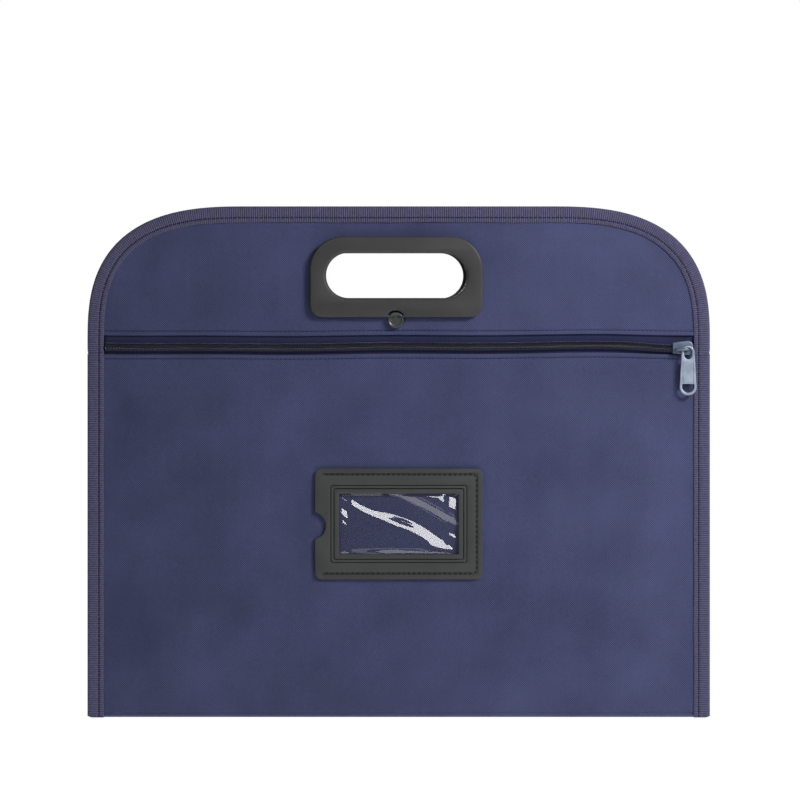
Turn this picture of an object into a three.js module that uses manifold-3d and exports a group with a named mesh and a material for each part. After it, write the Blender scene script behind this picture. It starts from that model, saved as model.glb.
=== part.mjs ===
// A flat zipped deposit bag in navy Oxford cloth: an outer zip pocket in front of an open-topped main
// compartment, two clamp-on plastic hand grips, a press stud, a bound edge and a clear label holder.
//
// Units are millimetres. X runs along the zip, Z is up and the front faces -Y. The origin is on the
// bottom fold, at the middle of the bag's length and thickness.
import * as THREE from "three";
import { mergeVertices } from "three/addons/utils/BufferGeometryUtils.js";
import Module from "manifold-3d";

const wasm = await Module();
wasm.setup();

// ---------- Driving dimensions ----------

const BAG_WIDTH = 380;
const BAG_HEIGHT = 312;
const HALF_WIDTH = BAG_WIDTH / 2;

// The top corners are quarter superellipses that start at the shoulder height.
const SHOULDER_Z = 233.2;
const CORNER_RUN = 90;
const CORNER_RISE = BAG_HEIGHT - SHOULDER_Z;
const CORNER_POWER = 2.5;
const CORNER_STEPS = 10;

// Cloth and tape thicknesses, and the air left between two layers.
const CLOTH = 0.6;
const DIVIDER = 0.5;
const TAPE = 0.6;
const AIR = 0.1;
const TAPE_WIDTH = 10;
const PANEL_INSET = TAPE + AIR;

// Depths closer together than this count as equal.
const SAME_DEPTH = 1e-6;

// Depths (Y) of the layers at the seams, from the front of the bag to its back.
const FRONT_FACE = -5.0;
const FRONT_MID = FRONT_FACE + CLOTH / 2;
const ZIP_TAPE_FRONT = -4.3;
const ZIP_TAPE_BACK = -3.9;
const DIVIDER_MID = -2.8;
const REAR_SEAM_MID = -2.15;
const BINDING_FRONT = FRONT_FACE - AIR - TAPE;
const FLAP_BINDING_BACK = DIVIDER_MID + DIVIDER / 2 + AIR + TAPE;
const SEAM_BINDING_BACK = REAR_SEAM_MID + CLOTH / 2 + AIR + TAPE;

// Depths of the same layers where the two compartments stand open.
const POCKET_MID = -6.7;
const DIVIDER_BELLY_MID = -1.15;
const REAR_MID = 5.5;

// Where the front compartments' cloth curves out: the length of the rise, and its heights at the top.
const BELLY_RISE = 30;
const BELLY_FULL = 183;
const BELLY_TOP = 208;

// A seam binding turned half round about the upright swaps front and back by this depth.
const SEAM_TURN = BINDING_FRONT + SEAM_BINDING_BACK;

// Heights of the mouth: the side seams end just below the rear flap's fold, and the flap stands clear of
// the front by this share of the bag's depth as it leaves them.
const FLAP_FOLD_Z = 222;
const FOLD_GAP = 1;
const SEAM_TOP = FLAP_FOLD_Z - FOLD_GAP;
const FLAP_START = 0.19;

// Zip: a closed coil between the pocket panel and the upper panel.
const ZIP_Z = 225.5;
const ZIP_HALF_LENGTH = 179.9;
const COIL_HALF_HEIGHT = 2.8;
const COIL_ROUND = 0.6;
const COIL_ROUND_STEPS = 3;
const COIL_GAP = 0.3;
const COIL_FRONT = -6.5;
const COIL_BACK = ZIP_TAPE_FRONT - AIR;
const POCKET_TOP = 221.6;
const UPPER_PANEL_BOTTOM = SHOULDER_Z;
const ZIP_TAPE_REACH = 13.5;

// Hand grips: an outer and an inner ring clamped through the cloth, on each side of the bag.
const GRIP_WIDTH = 105.4;
const GRIP_BOTTOM = 244.3;
const GRIP_TOP = 293.4;
const GRIP_TOP_RADIUS = 20;
const GRIP_BOTTOM_RADIUS = 7.5;
const HAND_WIDTH = 87;
const HAND_HEIGHT = 29;
const HAND_Z = 269.8;
const FRONT_GRIP_X = -1.5;
const REAR_GRIP_X = -3.3;
const GRIP_OUTER = 3.4;
const FRONT_INNER_BACK = 1.3;
const REAR_INNER_FRONT = 1.9;
const COLLAR = 1.2;
const PIN_RADIUS = 1.5;
const PIN_PLACES = [
  [-44, -19.5],
  [44, -19.5],
  [-34, 19],
  [34, 19],
];

// Press stud below the grips.
const STUD_X = -1.9;
const STUD_Z = 242.5;
const STUD_RADIUS = 5.15;
const STUD_NOTCH = 5.9;
const STEM_RADIUS = 1.4;
const POST_RADIUS = 2;
const SOCKET_CAVITY = 2.8;

// Label holder on the pocket panel.
const LABEL_WIDTH = 102;
const LABEL_HEIGHT = 67.4;
const LABEL_Z = 118.2;
const LABEL_RADIUS = 4;
const WINDOW_WIDTH = 73;
const WINDOW_HEIGHT = 37;
const LABEL_BACK = -7.1;
const LABEL_FRONT = -9.3;
const CARD_WIDTH = 92;
const CARD_HEIGHT = 55;

// Slider and pull.
const SLIDER_LEFT = 167.2;
const SLIDER_RIGHT = 179.6;
const SLIDER_HALF_HEIGHT = 4.4;
const SLIDER_FRONT = -7.8;
const BRIDGE_FRONT = -11.1;
const PEG_X = 176.4;
const PEG_Z = 224.6;
const PULL_FRONT = -9.6;
const PULL_BACK = -8.2;

// Deepest points in front and behind, which place the origin midway between them.
const FRONTMOST = BRIDGE_FRONT;
const REARMOST = REAR_MID + CLOTH / 2 + AIR + GRIP_OUTER;

// ---------- Materials ----------

const material = (color, roughness, metalness = 0, opacity = 1) =>
  new THREE.MeshStandardMaterial({ color, roughness, metalness, opacity, transparent: opacity < 1 });

const OXFORD = material(0x3e4467, 0.8);
const GROSGRAIN = material(0x46435f, 0.85);
const LINING = material(0x2c3050, 0.85);
const ZIP_TAPE = material(0x24284a, 0.85);
const COIL = material(0x1c1e2c, 0.45);
const BLACK_PLASTIC = material(0x39393a, 0.55);
const BLACK_METAL = material(0x3a3a3a, 0.4, 0.6);
const SOFT_PVC = material(0x333536, 0.6);
const CLEAR_FILM = material(0xe8ecf2, 0.05, 0, 0.25);
const PAINTED_ZINC = material(0x8796ac, 0.4, 0.3);

// ---------- Solid helpers ----------

function solidOf(geometry) {
  const bare = (geometry.index ? geometry.toNonIndexed() : geometry).clone();
  const positions = new THREE.BufferGeometry().setAttribute("position", bare.getAttribute("position"));
  const merged = mergeVertices(positions, 1e-4);
  return new wasm.Manifold(
    new wasm.Mesh({
      numProp: 3,
      vertProperties: merged.attributes.position.array,
      triVerts: new Uint32Array(merged.index.array),
    }),
  );
}

function geometryOf(solid) {
  const mesh = solid.getMesh();
  return new THREE.BufferGeometry()
    .setAttribute("position", new THREE.BufferAttribute(mesh.vertProperties, 3))
    .setIndex(new THREE.BufferAttribute(mesh.triVerts, 1));
}

function cut(geometry, ...tools) {
  return geometryOf(tools.reduce((solid, tool) => solid.subtract(solidOf(tool)), solidOf(geometry)));
}

function join(...geometries) {
  return geometryOf(geometries.map(solidOf).reduce((all, solid) => all.add(solid)));
}

// Moves every vertex of a geometry to where place(x, y, z) puts it.
function warp(geometry, place) {
  const position = geometry.getAttribute("position");
  for (let i = 0; i < position.count; i++)
    position.setXYZ(i, ...place(position.getX(i), position.getY(i), position.getZ(i)));
  return geometry;
}

// A shape drawn in X and Z, extruded from the depth front to the depth back.
function plate(shape, front, back) {
  return new THREE.ExtrudeGeometry(shape, { depth: back - front, bevelEnabled: false })
    .rotateX(Math.PI / 2)
    .translate(0, back, 0);
}

// The same plate with its front and back edges rounded over.
function softPlate(shape, front, back, bevel) {
  const settings = {
    depth: back - front - 2 * bevel,
    bevelThickness: bevel,
    bevelSize: bevel,
    bevelOffset: -bevel,
    bevelSegments: 2,
  };
  return new THREE.ExtrudeGeometry(shape, settings).rotateX(Math.PI / 2).translate(0, back - bevel, 0);
}

function box(x0, x1, y0, y1, z0, z1) {
  return new THREE.BoxGeometry(x1 - x0, y1 - y0, z1 - z0).translate(
    (x0 + x1) / 2,
    (y0 + y1) / 2,
    (z0 + z1) / 2,
  );
}

// A round bar along Y.
function rod(x, z, radius, front, back, sides = 12) {
  return new THREE.CylinderGeometry(radius, radius, back - front, sides).translate(x, (front + back) / 2, z);
}

function namedMesh(name, geometry, look) {
  const mesh = new THREE.Mesh(geometry, look);
  mesh.name = name;
  return mesh;
}

// ---------- Outlines ----------

const clamp = (value) => Math.min(1, Math.max(0, value));

// A point of one top corner, from the shoulder (0) to the start of the straight top edge (1).
function cornerPoint(share) {
  const angle = (share * Math.PI) / 2;
  return [
    HALF_WIDTH - CORNER_RUN + CORNER_RUN * Math.cos(angle) ** (2 / CORNER_POWER),
    SHOULDER_Z + CORNER_RISE * Math.sin(angle) ** (2 / CORNER_POWER),
  ];
}

// The height where the rear flap stands all the way back from the side seams.
const FLAP_FULL = cornerPoint(1 / CORNER_STEPS)[1];

// The right half of the mouth's edge from the height bottom up to the straight top edge.
function rightEdge(bottom) {
  const corner = [];
  for (let i = 0; i <= CORNER_STEPS; i++) corner.push(cornerPoint(i / CORNER_STEPS));
  return [[HALF_WIDTH, bottom], ...corner.filter(([, z]) => z > bottom + 1)];
}

// The mouth's edge in X (x) and Z (y) from the left side over the top to the right, moved inwards.
function mouthEdge(bottom, inward) {
  const right = rightEdge(bottom);
  const left = right.map(([x, z]) => [-x, z]);
  const edge = [...left, ...right.reverse()].map(([x, z]) => new THREE.Vector2(x, z));
  const last = edge.length - 1;
  return edge.map((point, i) => {
    const before = point.clone().sub(edge[Math.max(0, i - 1)]).normalize();
    const after = edge[Math.min(last, i + 1)].clone().sub(point).normalize();
    const along = before.add(after).normalize();
    if (point.y <= FLAP_FULL) along.set(0, Math.sign(along.y));
    return new THREE.Vector2(point.x + along.y * inward, point.y - along.x * inward);
  });
}

const flapShape = (bottom) => new THREE.Shape(mouthEdge(bottom, PANEL_INSET));

// Points along an arc in X and Z, both ends included.
function arc(x, z, radius, from, to, steps = 6) {
  const points = [];
  for (let i = 0; i <= steps; i++) {
    const angle = from + ((to - from) * i) / steps;
    points.push(new THREE.Vector2(x + radius * Math.cos(angle), z + radius * Math.sin(angle)));
  }
  return points;
}

function roundedRectangle(left, right, bottom, top, low, high = low, steps = 6) {
  const quarter = Math.PI / 2;
  return new THREE.Shape([
    ...arc(right - low, bottom + low, low, -quarter, 0, steps),
    ...arc(right - high, top - high, high, 0, quarter, steps),
    ...arc(left + high, top - high, high, quarter, 2 * quarter, steps),
    ...arc(left + low, bottom + low, low, 2 * quarter, 3 * quarter, steps),
  ]);
}

// The hand hole about its own middle, or a stadium that stands out of it by grow all round.
function handShape(grow = 0) {
  const width = HAND_WIDTH / 2 + grow;
  const height = HAND_HEIGHT / 2 + grow;
  return roundedRectangle(-width, width, -height, height, height - 0.01, height - 0.01, 8);
}

// ---------- Cloth panels ----------

// Splits each cell of a warped box's front and back faces along the same diagonal, the one with the
// greater change of depth, so that a twisted cell keeps the sheet's thickness.
function matchDiagonals(box) {
  const at = box.getAttribute("position");
  const index = box.getIndex();
  const change = (i, j) => {
    const rising = (at.getX(j) - at.getX(i)) * (at.getZ(j) - at.getZ(i)) > 0;
    return Math.abs(at.getY(j) - at.getY(i)) + (rising ? SAME_DEPTH : 0);
  };
  for (const { start, count } of box.groups.slice(2, 4))
    for (let i = start; i < start + count; i += 6) {
      const [a, b, d, c] = [0, 1, 2, 4].map((corner) => index.getX(i + corner));
      if (change(a, c) > change(b, d)) [a, b, c, a, c, d].forEach((corner, k) => index.setX(i + k, corner));
    }
  return box;
}

// A sheet of cloth on a grid. Each row is [half width, height], each step is a distance in from the
// side edge, and levelAt(step, z) is the depth of the sheet's middle.
function clothSheet(rows, steps, thickness, levelAt) {
  const across = [...steps.map((step) => [-1, step]), ...[...steps].reverse().map((step) => [1, step])];
  const columns = across.length - 1;
  const grid = new THREE.BoxGeometry(columns, 1, rows.length - 1, columns, 1, rows.length - 1);
  warp(grid, (u, v, w) => {
    const [side, step] = across[Math.round(u + columns / 2)];
    const [reach, z] = rows[Math.round(w + (rows.length - 1) / 2)];
    return [side * (reach - step * (reach / EDGE_REACH)), levelAt(step, z) + v * thickness, z];
  });
  return matchDiagonals(grid);
}

const EDGE_REACH = HALF_WIDTH - PANEL_INSET;
const straightRows = (...heights) => heights.map((z) => [EDGE_REACH, z]);

// Rows that follow the top corners, from just above the height bottom to the top edge.
function cornerRows(bottom) {
  const edge = mouthEdge(bottom, PANEL_INSET);
  return edge
    .slice(edge.length / 2, -1)
    .reverse()
    .map(({ x, y }) => [x, y]);
}

const mix = (low, high, share) => low + (high - low) * share;

// How far a compartment's cloth has left its edges (0) for its full depth (1): the rise starts at the
// distance side from the side edge and at the height low.
function bellyShare(fromSide, z, side, low) {
  const fromEdges = Math.min(clamp((fromSide - side) / BELLY_RISE), clamp((z - low) / BELLY_RISE));
  return Math.min(fromEdges, clamp((BELLY_TOP - z) / (BELLY_TOP - BELLY_FULL)));
}

// The pocket panel stands forward of the seams between its edges.
const pocketLevel = (fromSide, z) => mix(FRONT_MID, POCKET_MID, bellyShare(fromSide, z, 12, 6));

// The divider hangs back into the main compartment below the zip.
const dividerLevel = (fromSide, z) => mix(DIVIDER_MID, DIVIDER_BELLY_MID, bellyShare(fromSide, z, 24, 20));

// How far the rear panel's side edges have left the side seams (0) for their full depth (1) at a height.
function flapShare(z) {
  const foot = FLAP_FOLD_Z + FOLD_GAP;
  const start = FLAP_START * clamp((z - SEAM_TOP) / (foot - SEAM_TOP));
  return start + (1 - FLAP_START) * clamp((z - foot) / (FLAP_FULL - foot));
}

// The rear panel leaves the side seams and the bottom fold, and hangs free above the seams' top.
function rearLevel(fromSide, z) {
  const across = Math.max(clamp((fromSide - 11) / 34), flapShare(z));
  return mix(REAR_SEAM_MID, REAR_MID, Math.min(clamp((z - 4) / 35), across));
}

const REAR_STEPS = [0, 11, 28, 45, 120];

function pocketPanel() {
  const rows = straightRows(0.3, 6, 6 + BELLY_RISE, 110, BELLY_FULL, BELLY_TOP, POCKET_TOP);
  const sheet = clothSheet(rows, [0, 12, 12 + BELLY_RISE, 120], CLOTH, pocketLevel);
  const fold = box(-EDGE_REACH, EDGE_REACH, FRONT_FACE, REAR_SEAM_MID + CLOTH / 2, 0, CLOTH);
  return join(sheet, fold);
}

function upperPanel() {
  const sheet = plate(flapShape(UPPER_PANEL_BOTTOM), FRONT_FACE, FRONT_FACE + CLOTH);
  return cut(sheet, ...gripCuts(FRONT_GRIP_X, FRONT_FACE - 1, FRONT_FACE + 2));
}

function dividerPanel() {
  const low = straightRows(CLOTH + AIR, 20, 20 + BELLY_RISE, 110, BELLY_FULL, BELLY_TOP, SHOULDER_Z);
  const steps = [0, 24, 24 + BELLY_RISE, 120];
  const sheet = clothSheet([...low, ...cornerRows(SHOULDER_Z)], steps, DIVIDER, dividerLevel);
  return cut(sheet, ...gripCuts(FRONT_GRIP_X, DIVIDER_MID - 1, DIVIDER_MID + 1));
}

function rearLowerPanel() {
  const rows = straightRows(CLOTH + AIR, 4, 21, 39, 120, 190, SEAM_TOP);
  return clothSheet(rows, REAR_STEPS, CLOTH, rearLevel);
}

function rearFlapPanel() {
  const low = straightRows(FLAP_FOLD_Z + FOLD_GAP, SHOULDER_Z);
  const sheet = clothSheet([...low, ...cornerRows(SHOULDER_Z)], REAR_STEPS, CLOTH, rearLevel);
  return cut(sheet, ...gripCuts(REAR_GRIP_X, REAR_MID - 2, REAR_MID + 2));
}

// Cutting tools for a cloth layer under a grip: the hand hole, the clamp pins and the stud's stem.
function gripCuts(x, front, back) {
  const pins = PIN_PLACES.map(([dx, dz]) => rod(x + dx, HAND_Z + dz, PIN_RADIUS + 0.3, front, back));
  const hand = plate(handShape(COLLAR + 0.5), front, back).translate(x, 0, HAND_Z);
  return [hand, ...pins, rod(STUD_X, STUD_Z, STEM_RADIUS + 0.4, front, back)];
}

// ---------- Edge binding ----------

// A folded tape as a U section: it wraps an edge from front to back, with its fold outwards.
function bindingSection(front, back) {
  return new THREE.Shape(
    [
      [0, front],
      [TAPE_WIDTH, front],
      [TAPE_WIDTH, front + TAPE],
      [TAPE, front + TAPE],
      [TAPE, back - TAPE],
      [TAPE_WIDTH, back - TAPE],
      [TAPE_WIDTH, back],
      [0, back],
    ].map(([inward, y]) => new THREE.Vector2(inward, y)),
  );
}

function sideBinding(side) {
  const section = bindingSection(BINDING_FRONT, SEAM_BINDING_BACK);
  const tape = new THREE.ExtrudeGeometry(section, { depth: SEAM_TOP, bevelEnabled: false });
  if (side > 0) tape.applyMatrix4(new THREE.Matrix4().makeRotationZ(Math.PI)).translate(0, SEAM_TURN, 0);
  return tape.translate(side * HALF_WIDTH, 0, 0);
}

// The tape over the mouth's edge follows the arch, around the cloth's middle depth.
function mouthBinding(bottom, front, back, levelAt) {
  const last = mouthEdge(bottom, 0).length - 1;
  const section = bindingSection(front, back);
  const tape = new THREE.ExtrudeGeometry(section, { depth: last, steps: last, bevelEnabled: false });
  return warp(tape, (inward, y, station) => {
    const { x, y: z } = mouthEdge(bottom, inward)[Math.round(station)];
    return [x, y + levelAt(0, z), z];
  });
}

// ---------- Zip ----------

// One half of the closed coil, side +1 above the centre line and -1 below it.
function coilHalf(side) {
  const [low, high] = [COIL_GAP, COIL_HALF_HEIGHT].map((z) => ZIP_Z + side * z).sort((a, b) => a - b);
  const section = roundedRectangle(low, high, COIL_FRONT, COIL_BACK, COIL_ROUND, COIL_ROUND, COIL_ROUND_STEPS);
  return alongX(section, -ZIP_HALF_LENGTH, ZIP_HALF_LENGTH);
}

// A section drawn in Z (x) and Y (y), extruded along X.
function alongX(section, x0, x1) {
  const bar = new THREE.ExtrudeGeometry(section, { depth: x1 - x0, bevelEnabled: false });
  return warp(bar, (z, y, x) => [x1 - x, y, z]);
}

function zipTape(side) {
  const [low, high] = [COIL_GAP + 0.1, ZIP_TAPE_REACH].map((z) => ZIP_Z + side * z).sort((a, b) => a - b);
  return box(-ZIP_HALF_LENGTH, ZIP_HALF_LENGTH, ZIP_TAPE_FRONT, ZIP_TAPE_BACK, low, high);
}

// Front plate with its two guide lips, the back plate, the neck that joins them between the coil's
// halves, and the bridge that the pull's ring hangs on.
function zipSlider() {
  const lip = 0.9;
  const plateDepth = 1.1;
  const low = ZIP_Z - SLIDER_HALF_HEIGHT;
  const high = ZIP_Z + SLIDER_HALF_HEIGHT;
  const lipBack = FRONT_FACE - 0.2;
  const face = roundedRectangle(SLIDER_LEFT, SLIDER_RIGHT, low, high, 1.2, 1.2, 3);
  const frontPlate = plate(face, SLIDER_FRONT, SLIDER_FRONT + plateDepth);
  const lips = [low, high - lip].map((z) =>
    box(SLIDER_LEFT + 0.8, SLIDER_RIGHT - 1.4, SLIDER_FRONT + 0.4, lipBack, z, z + lip),
  );
  const backPlate = plate(
    roundedRectangle(SLIDER_LEFT + 0.4, SLIDER_RIGHT - 0.4, low + 0.4, high - 0.4, 1, 1, 3),
    ZIP_TAPE_BACK + 0.1,
    ZIP_TAPE_BACK + 0.7,
  );
  const [neckLow, neckHigh] = [ZIP_Z - 0.15, ZIP_Z + 0.15];
  const neck = box(
    SLIDER_RIGHT - 4,
    SLIDER_RIGHT - 1,
    SLIDER_FRONT + 0.4,
    ZIP_TAPE_BACK + 0.4,
    neckLow,
    neckHigh,
  );
  return join(frontPlate, ...lips, backPlate, neck, ...bridge());
}

// The bridge: a bar along X standing on a left foot and on the round peg inside the pull's ring.
function bridge() {
  const halfWidth = 1.1;
  const barBack = BRIDGE_FRONT + 1.3;
  const peg = rod(PEG_X, PEG_Z, 0.9, BRIDGE_FRONT + 0.4, SLIDER_FRONT + 0.4);
  const bar = plate(
    roundedRectangle(SLIDER_LEFT + 1.2, PEG_X + 1, PEG_Z - halfWidth, PEG_Z + halfWidth, 0.9, 0.9, 3),
    BRIDGE_FRONT,
    barBack,
  );
  const foot = box(
    SLIDER_LEFT + 1.4,
    SLIDER_LEFT + 2.7,
    BRIDGE_FRONT + 0.4,
    SLIDER_FRONT + 0.4,
    PEG_Z - halfWidth,
    PEG_Z + halfWidth,
  );
  return [bar, foot, peg];
}

// The pull, drawn about the peg it hangs on: a ring, a tapering blade with a raised pad, and an eye at
// its foot.
function zipPull() {
  const topHalf = 3.95;
  const footHalf = 5.15;
  const ringTop = 2.2;
  const footZ = ringTop - 30.2 + footHalf;
  const outline = new THREE.Shape([
    ...arc(0, footZ, footHalf, -Math.PI, 0, 10),
    ...arc(0, ringTop - topHalf, topHalf, 0, Math.PI, 10),
  ]);
  const ringHole = new THREE.Path([
    ...arc(0, ringTop - 5.8, 2.4, -Math.PI, 0),
    ...arc(0, ringTop - 3.6, 2.4, 0, Math.PI),
  ]);
  const eye = new THREE.Path([
    ...arc(0, footZ + 0.1, 3.7, -Math.PI, 0),
    new THREE.Vector2(3.7, footZ + 1.9),
    new THREE.Vector2(-3.7, footZ + 1.9),
  ]);
  outline.holes.push(ringHole, eye);
  const blade = plate(outline, PULL_FRONT + 0.2, PULL_BACK);
  const pad = roundedRectangle(-3, 3, footZ + 3.1, footZ + 15.6, 0.5, 0.5, 2);
  return join(blade, plate(pad, PULL_FRONT, PULL_FRONT + 0.4));
}

// ---------- Hand grips and press stud ----------

// Grips are drawn about the middle of their own hand hole.
const GRIP_SHAPE = roundedRectangle(
  -GRIP_WIDTH / 2,
  GRIP_WIDTH / 2,
  GRIP_BOTTOM - HAND_Z,
  GRIP_TOP - HAND_Z,
  GRIP_BOTTOM_RADIUS,
  GRIP_TOP_RADIUS,
);

// Room in a grip's lower edge for the stud, for a grip whose middle is at x.
const studNotch = (x, front, back) =>
  rod(STUD_X - x, STUD_Z - HAND_Z, STUD_NOTCH, front - 1, back + 1, 24);

// A grip's visible ring, with a collar that lines the hand hole through the cloth and blind holes for
// the pins. outward is -1 on the front of the bag and +1 on its back.
function gripOuter(x, face, outward) {
  const [front, back] = [face, face + outward * GRIP_OUTER].sort((a, b) => a - b);
  const [collarFront, collarBack] = [face + outward * 0.5, face - outward * 2.4].sort((a, b) => a - b);
  const [pinFront, pinBack] = [face - outward, face + outward * 2].sort((a, b) => a - b);
  const ring = softPlate(GRIP_SHAPE, front, back, 0.8);
  const collar = plate(handShape(COLLAR), collarFront, collarBack);
  const pinHoles = PIN_PLACES.map(([dx, dz]) => rod(dx, dz, PIN_RADIUS + 0.15, pinFront, pinBack));
  const hand = plate(handShape(), front - 4, back + 4);
  return cut(join(ring, collar), hand, studNotch(x, front, back), ...pinHoles);
}

// A grip's hidden ring inside the bag, with the pins that pass through the cloth.
function gripInner(x, clothFace, farFace, pinTip) {
  const [front, back] = [clothFace, farFace].sort((a, b) => a - b);
  const hand = plate(handShape(COLLAR + 0.2), front - 1, back + 1);
  const ring = cut(softPlate(GRIP_SHAPE, front, back, 0.6), hand, studNotch(x, front, back));
  const [pinFront, pinBack] = [Math.min(pinTip, back - 1), Math.max(pinTip, front + 1)];
  return join(ring, ...PIN_PLACES.map(([dx, dz]) => rod(dx, dz, PIN_RADIUS, pinFront, pinBack)));
}

// A turned piece on the stud's axis: the profile is [radius, depth] pairs that start and end on it.
function turned(profile, sides = 20) {
  const points = profile.map(([radius, depth]) => new THREE.Vector2(radius, depth));
  return new THREE.LatheGeometry(points, sides);
}

// Profiles run with the depth rising, from the front of the bag to its back.
function studCap() {
  const back = FRONT_FACE - AIR;
  return turned([
    [0, back - 2.7],
    [3.9, back - 2.6],
    [4.8, back - 2.0],
    [STUD_RADIUS, back - 1.0],
    [STUD_RADIUS, back],
    [STEM_RADIUS, back],
    [STEM_RADIUS, -1.9],
    [0, -1.9],
  ]);
}

function studSocket() {
  const front = DIVIDER_MID + DIVIDER / 2 + 0.15;
  const back = 0.9;
  return turned([
    [0, -1.7],
    [STEM_RADIUS + 0.3, -1.7],
    [STEM_RADIUS + 0.3, front],
    [4.9, front],
    [4.9, back - 1],
    [4.2, back],
    [SOCKET_CAVITY, back],
    [SOCKET_CAVITY, -1.3],
    [0, -1.3],
  ]);
}

function studPost() {
  const back = REAR_MID - CLOTH / 2 - AIR;
  return turned([
    [0, -0.9],
    [1.5, -0.9],
    [POST_RADIUS, -0.4],
    [POST_RADIUS, REAR_INNER_FRONT],
    [4.0, REAR_INNER_FRONT],
    [4.9, REAR_INNER_FRONT + 1],
    [4.9, back],
    [STEM_RADIUS + 0.3, back],
    [STEM_RADIUS + 0.3, back - 0.8],
    [0, back - 0.8],
  ]);
}

function studRivet() {
  const front = REAR_MID + CLOTH / 2 + AIR;
  return turned([
    [0, REAR_MID - 0.9],
    [STEM_RADIUS, REAR_MID - 0.9],
    [STEM_RADIUS, front],
    [STUD_RADIUS, front],
    [STUD_RADIUS, front + 0.8],
    [4.6, front + 1.5],
    [0, front + 1.8],
  ]);
}

// ---------- Label holder ----------

// The holder is drawn about the middle of its window.
const centredRectangle = (width, height, radius, steps) =>
  roundedRectangle(-width / 2, width / 2, -height / 2, height / 2, radius, radius, steps);

// A stepped frame with a thumb notch on its left edge, and a recess behind for the card and the film.
function labelFrame() {
  const body = join(
    plate(centredRectangle(LABEL_WIDTH, LABEL_HEIGHT, LABEL_RADIUS), LABEL_FRONT + 0.6, LABEL_BACK),
    plate(centredRectangle(LABEL_WIDTH - 18.6, LABEL_HEIGHT - 22, 1, 2), LABEL_FRONT, LABEL_FRONT + 1),
  );
  const window = centredRectangle(WINDOW_WIDTH, WINDOW_HEIGHT, 0.6, 2);
  const thumb = rod(-LABEL_WIDTH / 2 - 1.8, -1, 8.4, LABEL_FRONT - 1, LABEL_BACK + 1, 28);
  const slot = box(
    -LABEL_WIDTH / 2 - 1,
    CARD_WIDTH / 2,
    LABEL_BACK - 0.9,
    LABEL_BACK + 1,
    -CARD_HEIGHT / 2,
    CARD_HEIGHT / 2,
  );
  return cut(body, plate(window, LABEL_FRONT - 1, LABEL_BACK + 1), thumb, slot);
}

function labelWindow() {
  const margin = 5.5;
  const width = WINDOW_WIDTH / 2 + margin;
  const height = WINDOW_HEIGHT / 2 + margin;
  const front = LABEL_BACK - 0.85;
  return box(-width, width, front, front + 0.25, -height, height);
}

// ---------- Assembly ----------

// A group of parts that share a place in X and Z.
function groupAt(x, z, ...parts) {
  const group = new THREE.Group();
  group.position.set(x, 0, z);
  return group.add(...parts);
}

const frontGrip = groupAt(
  FRONT_GRIP_X,
  HAND_Z,
  namedMesh("front_grip_outer", gripOuter(FRONT_GRIP_X, FRONT_FACE - AIR, -1), BLACK_PLASTIC),
  namedMesh(
    "front_grip_inner",
    gripInner(FRONT_GRIP_X, DIVIDER_MID + DIVIDER / 2 + 0.15, FRONT_INNER_BACK, FRONT_FACE - 1.8),
    BLACK_PLASTIC,
  ),
);

const labelHolder = groupAt(
  0,
  LABEL_Z,
  namedMesh("label_frame", labelFrame(), SOFT_PVC),
  namedMesh("label_window", labelWindow(), CLEAR_FILM),
);

const bagBody = new THREE.Group();
bagBody.add(
  namedMesh("front_pocket_panel", pocketPanel(), OXFORD),
  namedMesh("front_upper_panel", upperPanel(), OXFORD),
  namedMesh("pocket_divider", dividerPanel(), LINING),
  namedMesh("rear_panel", rearLowerPanel(), OXFORD),
  namedMesh("side_binding_left", sideBinding(-1), GROSGRAIN),
  namedMesh("side_binding_right", sideBinding(1), GROSGRAIN),
  namedMesh(
    "front_mouth_binding",
    mouthBinding(SEAM_TOP + 0.3, BINDING_FRONT, FLAP_BINDING_BACK, () => 0),
    GROSGRAIN,
  ),
  namedMesh("zip_tape_upper", zipTape(1), ZIP_TAPE),
  namedMesh("zip_tape_lower", zipTape(-1), ZIP_TAPE),
  namedMesh("zip_coil_upper", coilHalf(1), COIL),
  namedMesh("zip_coil_lower", coilHalf(-1), COIL),
  frontGrip,
  groupAt(
    STUD_X,
    STUD_Z,
    namedMesh("stud_cap", studCap(), BLACK_METAL),
    namedMesh("stud_socket", studSocket(), BLACK_METAL),
  ),
  labelHolder,
);

const rearGrip = groupAt(
  REAR_GRIP_X,
  HAND_Z,
  namedMesh("rear_grip_outer", gripOuter(REAR_GRIP_X, REAR_MID + CLOTH / 2 + AIR, 1), BLACK_PLASTIC),
  namedMesh(
    "rear_grip_inner",
    gripInner(REAR_GRIP_X, REAR_MID - CLOTH / 2 - AIR, REAR_INNER_FRONT, REAR_MID + 2.2),
    BLACK_PLASTIC,
  ),
);

const rearFlap = new THREE.Group();
rearFlap.add(
  namedMesh("rear_flap_panel", rearFlapPanel(), OXFORD),
  namedMesh(
    "rear_mouth_binding",
    mouthBinding(FLAP_FOLD_Z + FOLD_GAP, -CLOTH / 2 - AIR - TAPE, CLOTH / 2 + AIR + TAPE, rearLevel),
    GROSGRAIN,
  ),
  rearGrip,
  groupAt(
    STUD_X,
    STUD_Z,
    namedMesh("stud_post", studPost(), BLACK_METAL),
    namedMesh("stud_rivet", studRivet(), BLACK_METAL),
  ),
);

const slider = new THREE.Group();
slider.add(
  namedMesh("zip_slider", zipSlider(), PAINTED_ZINC),
  groupAt(PEG_X, PEG_Z, namedMesh("zip_pull", zipPull(), PAINTED_ZINC)),
);

const depositBag = new THREE.Group();
depositBag.add(bagBody, rearFlap, slider);
depositBag.position.y = -(FRONTMOST + REARMOST) / 2;

export default depositBag;
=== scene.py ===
"""The cash deposit bag's looks: cloth, bindings, zip, grips, stud, label holder, light and camera."""

import math

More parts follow.
